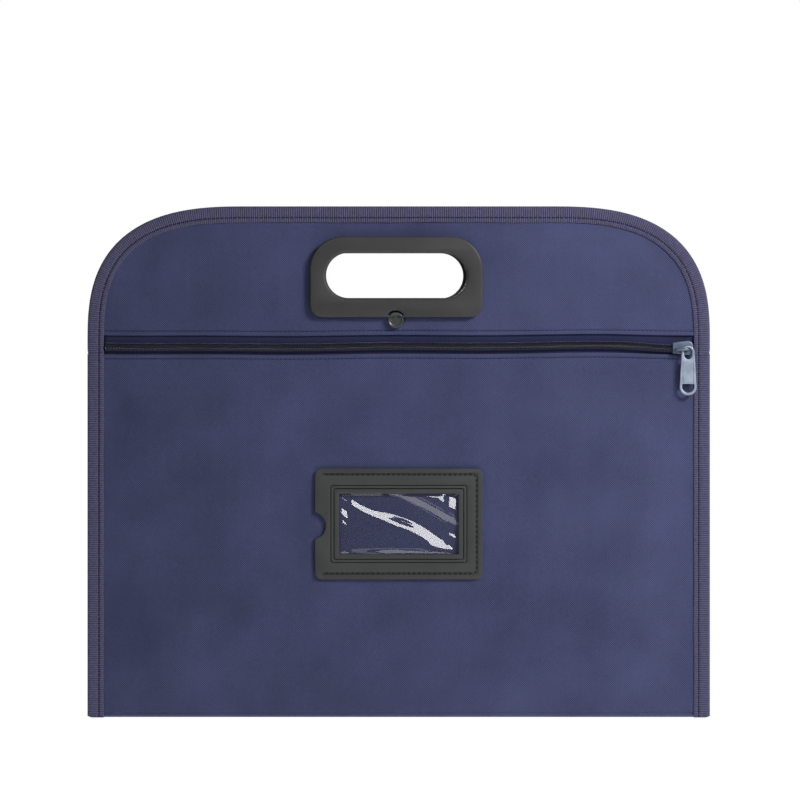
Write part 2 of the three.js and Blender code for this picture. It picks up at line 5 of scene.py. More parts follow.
import bpy
import numpy as np
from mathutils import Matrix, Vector


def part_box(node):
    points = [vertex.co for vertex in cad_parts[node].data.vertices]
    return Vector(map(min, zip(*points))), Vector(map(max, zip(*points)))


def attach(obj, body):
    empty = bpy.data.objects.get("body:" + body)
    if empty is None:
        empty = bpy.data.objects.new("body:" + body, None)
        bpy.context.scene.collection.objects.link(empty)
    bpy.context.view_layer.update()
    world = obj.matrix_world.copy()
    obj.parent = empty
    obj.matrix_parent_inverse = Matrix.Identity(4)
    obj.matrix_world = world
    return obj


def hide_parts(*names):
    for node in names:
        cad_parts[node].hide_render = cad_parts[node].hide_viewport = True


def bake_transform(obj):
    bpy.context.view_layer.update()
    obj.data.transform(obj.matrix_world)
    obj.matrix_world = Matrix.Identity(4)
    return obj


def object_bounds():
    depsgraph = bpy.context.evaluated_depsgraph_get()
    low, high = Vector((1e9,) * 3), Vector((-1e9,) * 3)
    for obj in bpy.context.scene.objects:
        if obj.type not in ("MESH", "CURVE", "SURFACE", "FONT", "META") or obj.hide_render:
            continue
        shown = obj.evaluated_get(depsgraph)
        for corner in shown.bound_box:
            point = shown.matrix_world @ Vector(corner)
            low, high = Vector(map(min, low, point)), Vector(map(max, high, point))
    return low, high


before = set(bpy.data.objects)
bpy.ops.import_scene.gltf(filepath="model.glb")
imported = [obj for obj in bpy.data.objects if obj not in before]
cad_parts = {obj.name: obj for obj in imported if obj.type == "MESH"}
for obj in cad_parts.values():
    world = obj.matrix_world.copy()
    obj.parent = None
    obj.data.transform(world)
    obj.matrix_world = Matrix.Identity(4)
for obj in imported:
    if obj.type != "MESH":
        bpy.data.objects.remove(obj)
cad_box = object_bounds()

MM = 0.001

# ---------- Places taken from the CAD ----------


def low(node, axis):
    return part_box(node)[0][axis] / MM


def high(node, axis):
    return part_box(node)[1][axis] / MM


def middle(node, axis):
    return (low(node, axis) + high(node, axis)) / 2


X, Y, Z = 0, 1, 2
HALF_WIDTH = high("front_mouth_binding", X)
TOP = high("front_mouth_binding", Z)
SEAM_TOP = high("side_binding_left", Z)
TAPE_WIDTH = high("side_binding_left", X) - low("side_binding_left", X)
SIDE_FRONT = low("side_binding_left", Y)
SIDE_BACK = high("side_binding_left", Y)
MOUTH_BACK = high("front_mouth_binding", Y)
CLOTH = 0.6
LINING = 0.5
UPPER_MID = middle("front_upper_panel", Y)
UPPER_BOTTOM = low("front_upper_panel", Z)
POCKET_MID = low("front_pocket_panel", Y) + CLOTH / 2
POCKET_TOP = high("front_pocket_panel", Z)
DIVIDER_MID = low("pocket_divider", Y) + LINING / 2
DIVIDER_BELLY = high("pocket_divider", Y) - LINING / 2
REAR_SEAM_MID = low("rear_panel", Y) + CLOTH / 2
REAR_MID = high("rear_panel", Y) - CLOTH / 2
FOLD_Z = (high("rear_panel", Z) + low("rear_flap_panel", Z)) / 2
ZIP_Z = (low("zip_coil_upper", Z) + high("zip_coil_lower", Z)) / 2
ZIP_HALF = high("zip_coil_upper", X)
COIL_MID = middle("zip_coil_upper", Y)
STUD_X = middle("stud_cap", X)
STUD_Z = middle("stud_cap", Z)
LABEL_Z = middle("label_frame", Z)

# The top corners: quarter superellipses.
CORNER_RUN = 97
CORNER_RISE = 82
CORNER_POWER = 2.7
SHOULDER_Z = TOP - CORNER_RISE

# ---------- Mesh helpers (millimetres in, metres out) ----------


def new_piece(name, verts, faces, material, uv=None):
    mesh = bpy.data.meshes.new(name)
    mesh.from_pydata((np.asarray(verts, float) * MM).tolist(), [], faces)
    mesh.polygons.foreach_set("use_smooth", [True] * len(mesh.polygons))
    if uv is not None:
        layer = mesh.uv_layers.new(name="UVMap")
        loops = np.zeros(len(mesh.loops), np.int32)
        mesh.loops.foreach_get("vertex_index", loops)
        layer.data.foreach_set("uv", np.asarray(uv, np.float32)[loops].ravel())
    mesh.materials.append(material)
    piece = bpy.data.objects.new(name, mesh)
    bpy.context.collection.objects.link(piece)
    return piece


def grid_faces(rows, columns, wrap=False):
    """Quads between rows of points; with wrap, each row closes on itself."""
    faces = []
    for i in range(rows - 1):
        for j in range(columns if wrap else columns - 1):
            k = (j + 1) % columns
            faces.append((i * columns + j, i * columns + k, (i + 1) * columns + k, (i + 1) * columns + j))
    return faces


def tube_faces(rings, around, base=0):
    """Quads between closed rings of points, with a cap on the first ring and on the last."""
    quads = [tuple(base + v for v in face) for face in grid_faces(rings, around, wrap=True)]
    first = range(base, base + around)
    last = range(base + (rings - 1) * around, base + rings * around)
    return quads + [tuple(first), tuple(reversed(last))]


def points_of(mesh):
    """A mesh's points in millimetres."""
    co = np.zeros(len(mesh.vertices) * 3)
    mesh.vertices.foreach_get("co", co)
    return co.reshape(-1, 3) / MM


def lengths(path):
    """The distance along a path to each of its points."""
    return np.concatenate([[0], np.cumsum(np.linalg.norm(np.diff(path, axis=0), axis=1))])


def thicken(piece, thickness):
    solid = piece.modifiers.new("Thickness", "SOLIDIFY")
    solid.thickness = thickness * MM
    solid.offset = 0
    return piece


def smooth_step(value):
    t = np.clip(value, 0, 1)
    return t * t * (3 - 2 * t)


def waves(x, z, seed, length, count=7):
    """A gentle random field in -1..1 whose waves are about length long, the same each run."""
    rng = np.random.default_rng(seed)
    total = np.zeros(np.broadcast(x, z).shape)
    for _ in range(count):
        angle, phase = rng.uniform(0, math.tau, 2)
        k = math.tau / (length * rng.uniform(0.7, 1.6))
        total = total + np.sin(k * (math.cos(angle) * x + math.sin(angle) * z) + phase)
    return total / count


def zip_wobble(x):
    """How far the zip and its hems wander in height."""
    bow = 1.4 * np.exp(-(((x - 128) / 36) ** 2))
    return bow + 0.35 * np.sin(x / 41 + 0.7) + 0.22 * np.sin(x / 17 + 2.1)


def joined(pieces, name):
    """One object from several, keeping their materials."""
    bpy.ops.object.select_all(action="DESELECT")
    for piece in pieces:
        piece.select_set(True)
    bpy.context.view_layer.objects.active = pieces[0]
    bpy.ops.object.join()
    pieces[0].name = name
    pieces[0].data.name = name
    return pieces[0]


# ---------- Materials ----------


class Nodes:
    """A material's node tree, with short calls for the nodes used here."""

    def __init__(self, name, color, roughness, **sockets):
        self.material = bpy.data.materials.new(name)
        self.material.use_nodes = True
        self.tree = self.material.node_tree
        self.shader = self.tree.nodes["Principled BSDF"]
        self.shader.inputs["Base Color"].default_value = (*color, 1)
        self.shader.inputs["Roughness"].default_value = roughness
        for key, value in sockets.items():
            self.shader.inputs[key.replace("_", " ")].default_value = value
        self.place = self.add("ShaderNodeTexCoord").outputs["Object"]
        self.uv = self.tree.nodes["Texture Coordinate"].outputs["UV"]

    def add(self, kind, **values):
        node = self.tree.nodes.new(kind)
        for key, value in values.items():
            setattr(node, key, value)
        return node

    def link(self, source, target):
        if isinstance(source, (int, float)):
            target.default_value = source
        else:
            self.tree.links.new(source, target)

    def math(self, operation, a, b=0.0):
        node = self.add("ShaderNodeMath", operation=operation)
        self.link(a, node.inputs[0])
        self.link(b, node.inputs[1])
        return node.outputs[0]

    def noise(self, scale, detail=3):
        node = self.add("ShaderNodeTexNoise")
        node.inputs["Scale"].default_value = scale
        node.inputs["Detail"].default_value = detail
        self.link(self.place, node.inputs["Vector"])
        return node.outputs[0]

    def axes(self, source):
        node = self.add("ShaderNodeSeparateXYZ")
        self.link(source, node.inputs[0])
        return node.outputs

    def wave(self, coordinate, pitch):
        """sin of a coordinate in metres, with the given pitch in millimetres."""
        return self.math("SINE", self.math("MULTIPLY", coordinate, math.tau / (pitch * MM)))

    def centred_noise(self, scale, detail, share):
        """Noise about zero, scaled by share."""
        return self.math("MULTIPLY", self.math("SUBTRACT", self.noise(scale, detail), 0.5), share)

    def ramp(self, factor, *stops):
        """Colours along a factor from (place, colour) pairs."""
        node = self.add("ShaderNodeValToRGB")
        elements = node.color_ramp.elements
        while len(elements) < len(stops):
            elements.new(0.5)
        for element, (at, color) in zip(elements, stops):
            element.position = at
            element.color = (*color, 1)
        self.link(factor, node.inputs[0])
        return node.outputs[0]

    def color(self, output):
        self.link(output, self.shader.inputs["Base Color"])

    def roughness(self, output):
        self.link(output, self.shader.inputs["Roughness"])

    def bump(self, height, distance, strength):
        node = self.add("ShaderNodeBump")
        node.inputs["Distance"].default_value = distance * MM
        node.inputs["Strength"].default_value = strength
        self.link(height, node.inputs["Height"])
        self.link(node.outputs[0], self.shader.inputs["Normal"])


def shade(color, factor):
    return tuple(min(1, c * factor) for c in color)


def oxford_material(name, color, slate, pitch=0.66):
    """Plain-woven coated cloth: yarns over and under, brighter where the warp is on top.

    Its colour carries painted light: lighter towards the upper right, where the key light comes from, and
    darker towards the lower left.
    """
    m = Nodes(name, color, 0.62, Sheen_Weight=0.06, Sheen_Roughness=0.45, Specular_IOR_Level=0.25)
    x, _, z = m.axes(m.place)
    wander = m.centred_noise(260, 2, 0.6 * MM)
    across, up = (m.wave(m.math("ADD", place, wander), 2 * pitch) for place in (x, z))
    over = m.math("MULTIPLY", across, up)
    height = m.math("ABSOLUTE", over)
    # Painted light: the tone rises towards the upper right and falls towards the lower left.
    painted_light_slope = m.math("ADD", m.math("MULTIPLY", m.math("ADD", x, m.math("MULTIPLY", z, 0.6)), 0.45), 0.46)
    tone = m.math("ADD", m.math("MULTIPLY", over, 0.46), painted_light_slope)
    patchy = m.math("ADD", tone, m.centred_noise(22, 3, 0.6))
    speckle = m.math("ADD", patchy, m.centred_noise(900, 1, 0.3))
    m.color(m.ramp(speckle, (0.1, shade(color, 0.4)), (0.5, color), (0.9, slate)))
    m.roughness(m.math("ADD", m.math("MULTIPLY", m.noise(1400, 2), 0.25), 0.5))
    m.bump(height, 0.16, 0.8)
    return m.material


def grosgrain_material(name, color, pitch=1.34):
    """Ribbed tape: ribs across its length, which the first UV axis measures in metres."""
    m = Nodes(name, color, 0.7, Sheen_Weight=0.08, Sheen_Roughness=0.5, Specular_IOR_Level=0.22)
    along, across, _ = m.axes(m.uv)
    rib = m.wave(along, pitch)
    thread = m.wave(across, 0.5)
    tone = m.math("ADD", m.math("MULTIPLY", rib, 0.3), 0.5)
    tone = m.math("ADD", tone, m.centred_noise(420, 3, 0.5))
    m.color(m.ramp(tone, (0.1, shade(color, 0.45)), (0.5, color), (0.9, shade(color, 1.7))))
    m.bump(m.math("ADD", rib, m.math("MULTIPLY", thread, 0.25)), 0.14, 0.8)
    return m.material


def thread_material(name, color):
    m = Nodes(name, color, 0.6, Specular_IOR_Level=0.2)
    twist = m.noise(2600, 1)
    m.color(m.ramp(twist, (0.3, shade(color, 0.6)), (0.7, shade(color, 1.5))))
    m.bump(twist, 0.05, 0.6)
    return m.material


def moulded_material(name, color, roughness, grain=1500, depth=0.03, **sockets):
    """Moulded plastic or rubber: fine grain, slightly uneven sheen."""
    m = Nodes(name, color, roughness, **sockets)
    fine = m.noise(grain, 3)
    broad = m.noise(45, 3)
    m.color(m.ramp(broad, (0.3, shade(color, 0.9)), (0.7, shade(color, 1.12))))
    m.roughness(m.math("ADD", m.math("MULTIPLY", broad, 0.16), roughness - 0.08))
    m.bump(fine, depth, 0.7)
    return m.material


def painted_material(name, color):
    """Painted zinc casting: orange-peel paint with small worn spots."""
    m = Nodes(name, color, 0.32, Metallic=0.25, Coat_Weight=0.3, Coat_Roughness=0.2)
    peel = m.noise(700, 2)
    worn = m.noise(180, 5)
    m.color(m.ramp(worn, (0.25, shade(color, 0.75)), (0.5, color), (0.78, shade(color, 1.25))))
    m.roughness(m.math("ADD", m.math("MULTIPLY", worn, 0.3), 0.2))
    m.bump(peel, 0.04, 0.6)
    return m.material


def film_material(name):
    """Thin clear plastic film: mostly see-through, with sharp reflections and faint rub marks."""
    shine = dict(Specular_IOR_Level=1.0, Coat_Weight=1.0, Coat_IOR=2.5, Coat_Roughness=0.02)
    m = Nodes(name, (0.035, 0.04, 0.085), 0.05, Alpha=0.29, **shine)
    m.roughness(m.math("ADD", m.math("MULTIPLY", m.noise(130, 4), 0.07), 0.02))
    m.material.surface_render_method = "BLENDED"
    return m.material


NAVY = (0.0248, 0.0302, 0.0875)
NAVY_LIGHT = (0.054, 0.062, 0.15)
oxford = oxford_material("oxford_cloth", NAVY, NAVY_LIGHT)
lining = oxford_material("lining_cloth", shade(NAVY, 0.75), NAVY)
grosgrain = grosgrain_material("binding_tape", (0.0445, 0.0427, 0.089))
zip_cloth = oxford_material("zip_tape", (0.0073, 0.0098, 0.052), (0.014, 0.017, 0.066), pitch=0.4)
dark_thread = thread_material("thread", (0.007, 0.007, 0.026))
black_thread = thread_material("label_thread", (0.008, 0.008, 0.008))
coil_plastic = moulded_material("zip_coil", (0.0065, 0.0075, 0.021), 0.24, grain=4000, depth=0.01)
grip_plastic = moulded_material("grip_plastic", (0.03, 0.03, 0.031), 0.5, Specular_IOR_Level=0.3)
label_pvc = moulded_material(
    "label_pvc", (0.0283, 0.0303, 0.0305), 0.52, grain=2200, depth=0.04, Specular_IOR_Level=0.35
)
stud_metal = moulded_material("stud_metal", (0.04, 0.041, 0.042), 0.34, grain=3000, depth=0.01, Metallic=0.3)
slider_paint = painted_material("slider_metal", (0.24, 0.28, 0.36))
# The slider's body is a darker copy of the pull's paint: painted shade on its top plate.
shaded_slider_paint = painted_material("slider_body", (0.075, 0.105, 0.16))
clear_film = film_material("clear_film")

# ---------- Outline ----------


def half_width(z, inset=0.0):
    """Half of the bag's width at a height, with the outline moved in by inset."""
    rise = np.clip((np.asarray(z, float) - SHOULDER_Z) / (CORNER_RISE - inset), 0, 1)
    run = CORNER_RUN - inset
    return HALF_WIDTH - CORNER_RUN + run * (1 - rise**CORNER_POWER) ** (1 / CORNER_POWER)


def mouth_path(bottom, step=1.6):
    """Points (x, z) of the mouth's edge from the left side over the top to the right."""
    angle = np.linspace(0, math.pi / 2, 140)
    x = HALF_WIDTH - CORNER_RUN + CORNER_RUN * np.cos(angle) ** (2 / CORNER_POWER)
    z = SHOULDER_Z + CORNER_RISE * np.sin(angle) ** (2 / CORNER_POWER)
    right = np.stack([np.append(HALF_WIDTH, x), np.append(bottom, z)], axis=1)
    left = right * (-1, 1)
    return evenly(np.concatenate([left, right[::-1]]), step)


def evenly(path, step):
    """The path again, with points about step apart."""
    along = lengths(path)
    at = np.linspace(0, along[-1], max(2, round(along[-1] / step) + 1))
    return np.stack([np.interp(at, along, path[:, k]) for k in range(path.shape[1])], axis=1)


def inward_normals(path):
    """Unit normals to the right of a path's direction, in its own plane."""
    along = np.gradient(path, axis=0)
    along /= np.linalg.norm(along, axis=1)[:, None]
    return np.stack([along[:, 1], -along[:, 0]], axis=1)


# ---------- Cloth panels ----------


def rear_share(from_side, z):
    """How far the rear panel has left its seams for its full depth, from 0 to 1."""
    side = smooth_step((from_side - 10) / 36)
    foot = FOLD_Z - 3
    flap = 0.16 * smooth_step((z - foot) / 5) + 0.84 * smooth_step((z - foot - 3) / 30)
    return np.minimum(smooth_step((z - 3) / 38), np.maximum(side, flap))


def belly(from_side, z, side, bottom):
    """How far a front layer has left its edges for its full depth, from 0 to 1."""
    edges = np.minimum(smooth_step((from_side - side) / 34), smooth_step((z - bottom) / 34))
    return np.minimum(edges, smooth_step((212 - z) / 32))


def label_clear(x, z):
    """0 over the label holder, rising to 1 away from it."""
    across = (np.abs(x) - high("label_frame", X)) / 30
    up = (np.abs(z - LABEL_Z) - (high("label_frame", Z) - LABEL_Z)) / 30
    return smooth_step(np.maximum(across, up) + 0.15)


def grip_clear(x, z):
    """0 over the front grip and the stud, rising to 1 away from them."""
    across = (np.abs(x - middle("front_grip_outer", X)) - 53) / 22
    up = (low("stud_cap", Z) - z) / 22
    return smooth_step(np.maximum(across, up))


def soft_fold(x, z, start, end, height, width=13.0):
    """A rounded ridge along the line from start to end that dies away past both ends."""
    (ax, az), (bx, bz) = start, end
    length = math.hypot(bx - ax, bz - az)
    along = ((x - ax) * (bx - ax) + (z - az) * (bz - az)) / length
    across = ((z - az) * (bx - ax) - (x - ax) * (bz - az)) / length
    past = np.maximum(np.maximum(-along, along - length), 0)
    return height * np.exp(-((across / width) ** 2) - (past / (2 * width)) ** 2)


# The hems' stitch lines run this far from the edges below and above the zip.
LOWER_HEM = 2.5
UPPER_HEM = 2.6


def hem(z, edge, stitch):
    """The raised fold between a hem's edge and its stitch line, with the dip of the stitches."""
    band = 0.42 * smooth_step((np.abs(stitch - edge) + 0.5 - np.abs(z - edge)) / 0.6)
    dip = 0.5 * np.exp(-(((z - stitch) / 0.5) ** 2))
    return dip - band


def sheet_piece(name, z_rows, y_at, inset, columns, material, x_at=None):
    """A cloth panel on a grid: each row runs across the bag at one height."""
    share = np.linspace(-1, 1, columns)
    z = np.repeat(np.asarray(z_rows, float)[:, None], columns, axis=1)
    x = share[None, :] * (half_width(z, inset) - inset * (z <= SHOULDER_Z))
    from_side = half_width(z) - np.abs(x)
    y = y_at(x, z, from_side)
    verts = np.stack([x, y, z], axis=-1).reshape(-1, 3)
    if x_at is not None:
        verts = x_at(verts)
    return new_piece(name, verts, grid_faces(len(z_rows), columns), material)


def fine_rows(*stops):
    """Heights between stops, given as (height, step to the next stop)."""
    rows = []
    for (start, step), (end, _) in zip(stops, stops[1:]):
        rows.extend(np.linspace(start, end, max(2, round(abs(end - start) / step) + 1))[:-1])
    return np.array(rows + [stops[-1][0]])


def open_for_fittings(piece, x):
    """The cloth with its faces removed over the hand hole, centred on x, and over the stud's hole."""
    mesh = piece.data
    co = points_of(mesh)
    half_x, half_z = (half + CLOTH_HOLE_MARGIN for half in HAND_HALF)
    dx = np.maximum(np.abs(co[:, 0] - x) - (half_x - half_z), 0)
    inside = np.hypot(dx, co[:, 2] - HAND_Z) < half_z
    inside |= np.hypot(co[:, 0] - STUD_X, co[:, 2] - STUD_Z) < STUD_HOLE_RADIUS
    faces = [tuple(p.vertices) for p in mesh.polygons if not any(inside[v] for v in p.vertices)]
    used = sorted({v for f in faces for v in f})
    index = {v: i for i, v in enumerate(used)}
    material = mesh.materials[0]
    name = piece.name
    bpy.data.objects.remove(piece)
    return new_piece(name, co[used], [tuple(index[v] for v in f) for f in faces], material)


HAND_Z = (low("front_grip_outer", Z) + high("front_grip_outer", Z)) / 2 + 0.95
FRONT_GRIP_X = middle("front_grip_outer", X)
REAR_GRIP_X = middle("rear_grip_outer", X)
HAND_HALF = (43.5, 14.5)
# The collars' lip shows this far inside the ring's hole.
COLLAR_LIP = 0.7
# The cloth stops this far short of the hand hole, and has a hole for the stud's shank.
CLOTH_HOLE_MARGIN = 2.5
STUD_HOLE_RADIUS = 3.0


# Two soft folds low on the left: start, end and height.
POCKET_FOLDS = (((-165, 62), (-95, 22), 1.5), ((-150, 140), (-80, 96), 0.9))


def pocket_panel():
    def depth(x, z, from_side):
        share = belly(from_side, z, 10.5, 4)
        y = UPPER_MID + (POCKET_MID - UPPER_MID) * share
        free = smooth_step((from_side - 14) / 40) * smooth_step((z - 8) / 30) * smooth_step((205 - z) / 30)
        y = y - free * label_clear(x, z) * (2.4 * waves(x, z, 3, 95) + 0.7 * waves(x, z, 9, 38))
        for start, end, height in POCKET_FOLDS:
            y = y - free * soft_fold(x, z, start, end, height)
        y = y + hem(z, POCKET_TOP, POCKET_TOP - LOWER_HEM)
        crease = 0.55 * np.exp(-(((z - 2.6) / 0.7) ** 2))
        return y + crease + 1.8 * smooth_step((2.0 - z) / 2.0)

    stops = ((0.35, 0.35), (4, 1.5), (10, 3.2), (200, 1.5), (214, 0.4), (POCKET_TOP, 0.4))
    piece = sheet_piece("pocket_cloth", fine_rows(*stops), depth, 1.0, 150, oxford, wobbled)
    thicken(piece, CLOTH)
    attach(piece, "bag_body")
    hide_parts("front_pocket_panel")


# The cloth follows the zip's wander within this height of it.
ZIP_REACH = 22


def wobbled(verts):
    """Points near the zip move with it."""
    near = smooth_step(1 - np.abs(verts[:, 2] - ZIP_Z) / ZIP_REACH)
    verts[:, 2] += near * zip_wobble(verts[:, 0])
    return verts


def upper_panel():
    def depth(x, z, from_side):
        free = smooth_step((from_side - 13) / 25) * smooth_step((TOP - 13 - z) / 18)
        free = free * smooth_step((z - UPPER_BOTTOM - 4) / 16) * grip_clear(x, z)
        y = UPPER_MID - free * (0.9 + 1.6 * waves(x, z, 12, 70))
        return y + hem(z, UPPER_BOTTOM, UPPER_BOTTOM + UPPER_HEM)

    stops = ((UPPER_BOTTOM, 0.4), (UPPER_BOTTOM + 6, 1.8), (TOP - 1, 1))
    piece = sheet_piece("upper_cloth", fine_rows(*stops), depth, 1.0, 190, oxford, wobbled)
    piece = open_for_fittings(piece, FRONT_GRIP_X)
    thicken(piece, CLOTH)
    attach(piece, "bag_body")
    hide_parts("front_upper_panel")


def divider_panel():
    def depth(x, z, from_side):
        share = belly(from_side, z, 24, 20)
        return DIVIDER_MID + (DIVIDER_BELLY - DIVIDER_MID) * share

    stops = ((1.2, 4), (TOP - 1.5, 1))
    piece = sheet_piece("divider_cloth", fine_rows(*stops), depth, 1.2, 120, lining)
    piece = open_for_fittings(piece, FRONT_GRIP_X)
    thicken(piece, LINING)
    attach(piece, "bag_body")
    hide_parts("pocket_divider")


def rear_panel():
    def depth(x, z, from_side):
        y = REAR_SEAM_MID + (REAR_MID - REAR_SEAM_MID) * rear_share(from_side, z)
        free = smooth_step((from_side - 14) / 40) * smooth_step((z - 10) / 40)
        free = free * smooth_step((TOP - 66 - z) / 30)
        return y + free * (0.5 + 1.2 * waves(x, z, 21, 90) + 0.4 * waves(x, z, 22, 40))

    stops = ((1.0, 1), (10, 3.2), (210, 1.6), (255, 2.4), (TOP - 1, 1))
    piece = sheet_piece("rear_cloth", fine_rows(*stops), depth, 1.0, 150, oxford)
    piece = open_for_fittings(piece, REAR_GRIP_X)
    thicken(piece, CLOTH)
    blend_over_fold(piece)
    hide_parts("rear_panel", "rear_flap_panel")


def blend_over_fold(piece):
    """The piece's transform, baked into its mesh; it is not attached to the bag or the rear flap."""
    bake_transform(piece)


# ---------- Edge binding ----------


def level(y):
    """A face at one depth, whatever the height."""
    return lambda z: np.full_like(z, y)


def tape_section(depth):
    """A folded tape's outline as (distance in from the edge, depth), with a dip for the stitches."""
    width, thick = TAPE_WIDTH, CLOTH
    outside = [
        (width, 0.42), (width - 0.12, 0.12), (width - 0.5, 0.0), (8.0, 0.0), (7.6, 0.05), (7.25, 0.42),
        (6.8, 0.42), (6.4, 0.05), (5.6, 0.0), (2.6, 0.0), (1.2, 0.06), (0.5, 0.3), (0.12, 0.75),
        (0.0, 1.3),
    ]
    back = [(t, depth - d) for t, d in reversed(outside)]
    inside = [(width - 0.05, depth - thick), (thick, depth - thick), (thick, thick), (width - 0.05, thick)]
    return np.array(outside + back + inside)


# The side tapes' bottom outer corners are cut off by this much across and up.
SNIP = (2.6, 0.9)


def tape_piece(name, path, front_at, depth, seed):
    """A folded tape swept along an edge path (x, z); front_at(z) is the depth of its front face."""
    section = tape_section(depth)
    normals = inward_normals(path)
    along = lengths(path)
    edge = 0.22 * waves(along, along * 0, seed, 45)
    puff = 0.1 * waves(along, along * 0, seed + 1, 9)
    t = section[None, :, 0] * (1 + (edge / TAPE_WIDTH)[:, None] * (section[None, :, 0] > 3))
    x = path[:, :1] + normals[:, :1] * t
    z = path[:, 1:] + normals[:, 1:] * t
    front_half = section[None, :, 1] < 0.1
    y = front_at(z) + section[None, :, 1] + puff[:, None] * front_half
    z = np.maximum(z, SNIP[1] * (1 - (HALF_WIDTH - np.abs(x)) / SNIP[0]))
    verts = np.stack([x, y, z], axis=-1).reshape(-1, 3)
    count = len(section)
    faces = tube_faces(len(path), count)
    u = np.repeat(along[:, None], count, axis=1) * MM
    v = np.repeat(section[None, :, 0], len(path), axis=0) * MM
    return new_piece(name, verts, faces, grosgrain, np.stack([u, v], axis=-1).reshape(-1, 2))


# The side tapes lap this far over the ends of the front mouth tape, which tuck this far in below them.
TAPE_LAP = 0.9
TUCK = 0.3


def side_path(side):
    z = np.linspace(0.0, SEAM_TOP + TAPE_LAP, 140)
    path = np.stack([np.full_like(z, HALF_WIDTH * side), z], axis=1)
    return path if side < 0 else path[::-1]


def side_tape(side, word):
    path = side_path(side)
    depth = SIDE_BACK - SIDE_FRONT
    piece = tape_piece(f"side_tape_{word}", path, level(SIDE_FRONT), depth, 31 + side)
    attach(piece, "bag_body")
    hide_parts(f"side_binding_{word}")


def front_mouth_tape():
    depth = MOUTH_BACK - SIDE_FRONT
    path = mouth_path(low("front_mouth_binding", Z))
    bottom = path[:, 1].min()
    path[:, 0] -= np.sign(path[:, 0]) * TUCK * smooth_step((bottom + 3.5 - path[:, 1]) / 3)

    def front_at(z):
        return SIDE_FRONT + TUCK * smooth_step((bottom + 3.5 - z) / 3)

    piece = tape_piece("front_mouth_tape", path, front_at, depth - TUCK, 41)
    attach(piece, "bag_body")
    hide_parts("front_mouth_binding")


REAR_TAPE_DEPTH = CLOTH + 1.4


def rear_tape_front(z):
    mid = REAR_SEAM_MID + (REAR_MID - REAR_SEAM_MID) * rear_share(0.0, z)
    return mid - REAR_TAPE_DEPTH / 2


def rear_tape_back(z):
    return rear_tape_front(z) + REAR_TAPE_DEPTH


def rear_mouth_tape():
    path = mouth_path(low("rear_mouth_binding", Z))
    piece = tape_piece("rear_mouth_tape", path, rear_tape_front, REAR_TAPE_DEPTH, 51)
    blend_over_fold(piece)
    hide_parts("rear_mouth_binding")


# ---------- Stitches ----------

STITCH_SIDES = 6
STITCH_RINGS = ((-0.5, 0.25), (-0.42, 0.8), (-0.2, 1.0), (0.2, 1.0), (0.42, 0.8), (0.5, 0.25))


def stitches(name, path, normal, length=2.2, gap=0.45, radius=0.27, material=None):
    """Short rounded stitches laid end to end along a path of (x, y, z), half sunk along normal."""
    steps = evenly(np.asarray(path, float), 0.5)
    along = lengths(steps)
    count = int(along[-1] / (length + gap))
    verts, faces = [], []
    for i in range(count):
        a = (i + 0.5) * along[-1] / count
        ends = [
            np.array([np.interp(s, along, steps[:, k]) for k in range(3)])
            for s in (a - length / 2, a + length / 2)
        ]
        centre, along_it = (ends[0] + ends[1]) / 2, ends[1] - ends[0]
        side = np.cross(along_it, normal)
        side /= np.linalg.norm(side)
        base = len(verts)
        for place, size in STITCH_RINGS:
            lift = 0.12 * (0.25 - place * place)
            for k in range(STITCH_SIDES):
                turn = math.tau * k / STITCH_SIDES
                across = side * math.cos(turn) + np.asarray(normal) * math.sin(turn)
                verts.append(centre + along_it * place + np.asarray(normal) * lift + across * size * radius)
        faces += tube_faces(len(STITCH_RINGS), STITCH_SIDES, base)
    return new_piece(name, verts, faces, material or dark_thread)


# Distance of the stitches from a binding's edge, and how far they sink into its face.
STITCH_IN = 7.0
STITCH_SINK = 0.3
FRONTWARDS = (0, -1, 0)
BACKWARDS = (0, 1, 0)


def stitch_rows(name, path, front_at, back_at):
    """Stitches along both faces of a binding, whose depths at a height are front_at and back_at."""
    moved = path + inward_normals(path) * STITCH_IN
    x, z = moved[:, 0], moved[:, 1]
    front = np.stack([x, front_at(z) + STITCH_SINK, z], axis=1)
    back = np.stack([x, back_at(z) - STITCH_SINK, z], axis=1)
    return [
        stitches(f"{name}_front", front, FRONTWARDS),
        stitches(f"{name}_back", back, BACKWARDS),
    ]


def binding_stitches():
    pieces = []
    for side, word in ((-1, "left"), (1, "right")):
        pieces += stitch_rows(f"side_stitches_{word}", side_path(side), level(SIDE_FRONT), level(SIDE_BACK))
    path = mouth_path(low("front_mouth_binding", Z))
    pieces += stitch_rows("front_mouth_stitches", path, level(SIDE_FRONT), level(MOUTH_BACK))
    for piece in pieces:
        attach(piece, "bag_body")
    path = mouth_path(low("rear_mouth_binding", Z))
    for piece in stitch_rows("rear_mouth_stitches", path, rear_tape_front, rear_tape_back):
        blend_over_fold(piece)


def zip_stitches():
    x = np.linspace(-ZIP_HALF + 0.5, ZIP_HALF - 0.5, 400)
    face = UPPER_MID - CLOTH / 2
    lines = (("zip_stitches_upper", UPPER_BOTTOM + UPPER_HEM), ("zip_stitches_lower", POCKET_TOP - LOWER_HEM))
    for name, z in lines:
        near = smooth_step(1 - abs(z - ZIP_Z) / ZIP_REACH)
        line = np.stack([x, np.full_like(x, face + 0.12), z + near * zip_wobble(x)], axis=1)
        piece = stitches(name, line, FRONTWARDS)
        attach(piece, "bag_body")


# ---------- Zip ----------


COIL_PITCH = 1.65
COIL_STEPS = 14
COIL_RADIUS = 0.37
# Half the loops' size up and down and front to back, and their centres' distance from the middle.
COIL_REACH = 1.25
COIL_DEPTH = 0.62
COIL_CENTRE = 1.15
# The coil rides up this far once it is clear of the slider.
COIL_RISE = 0.9


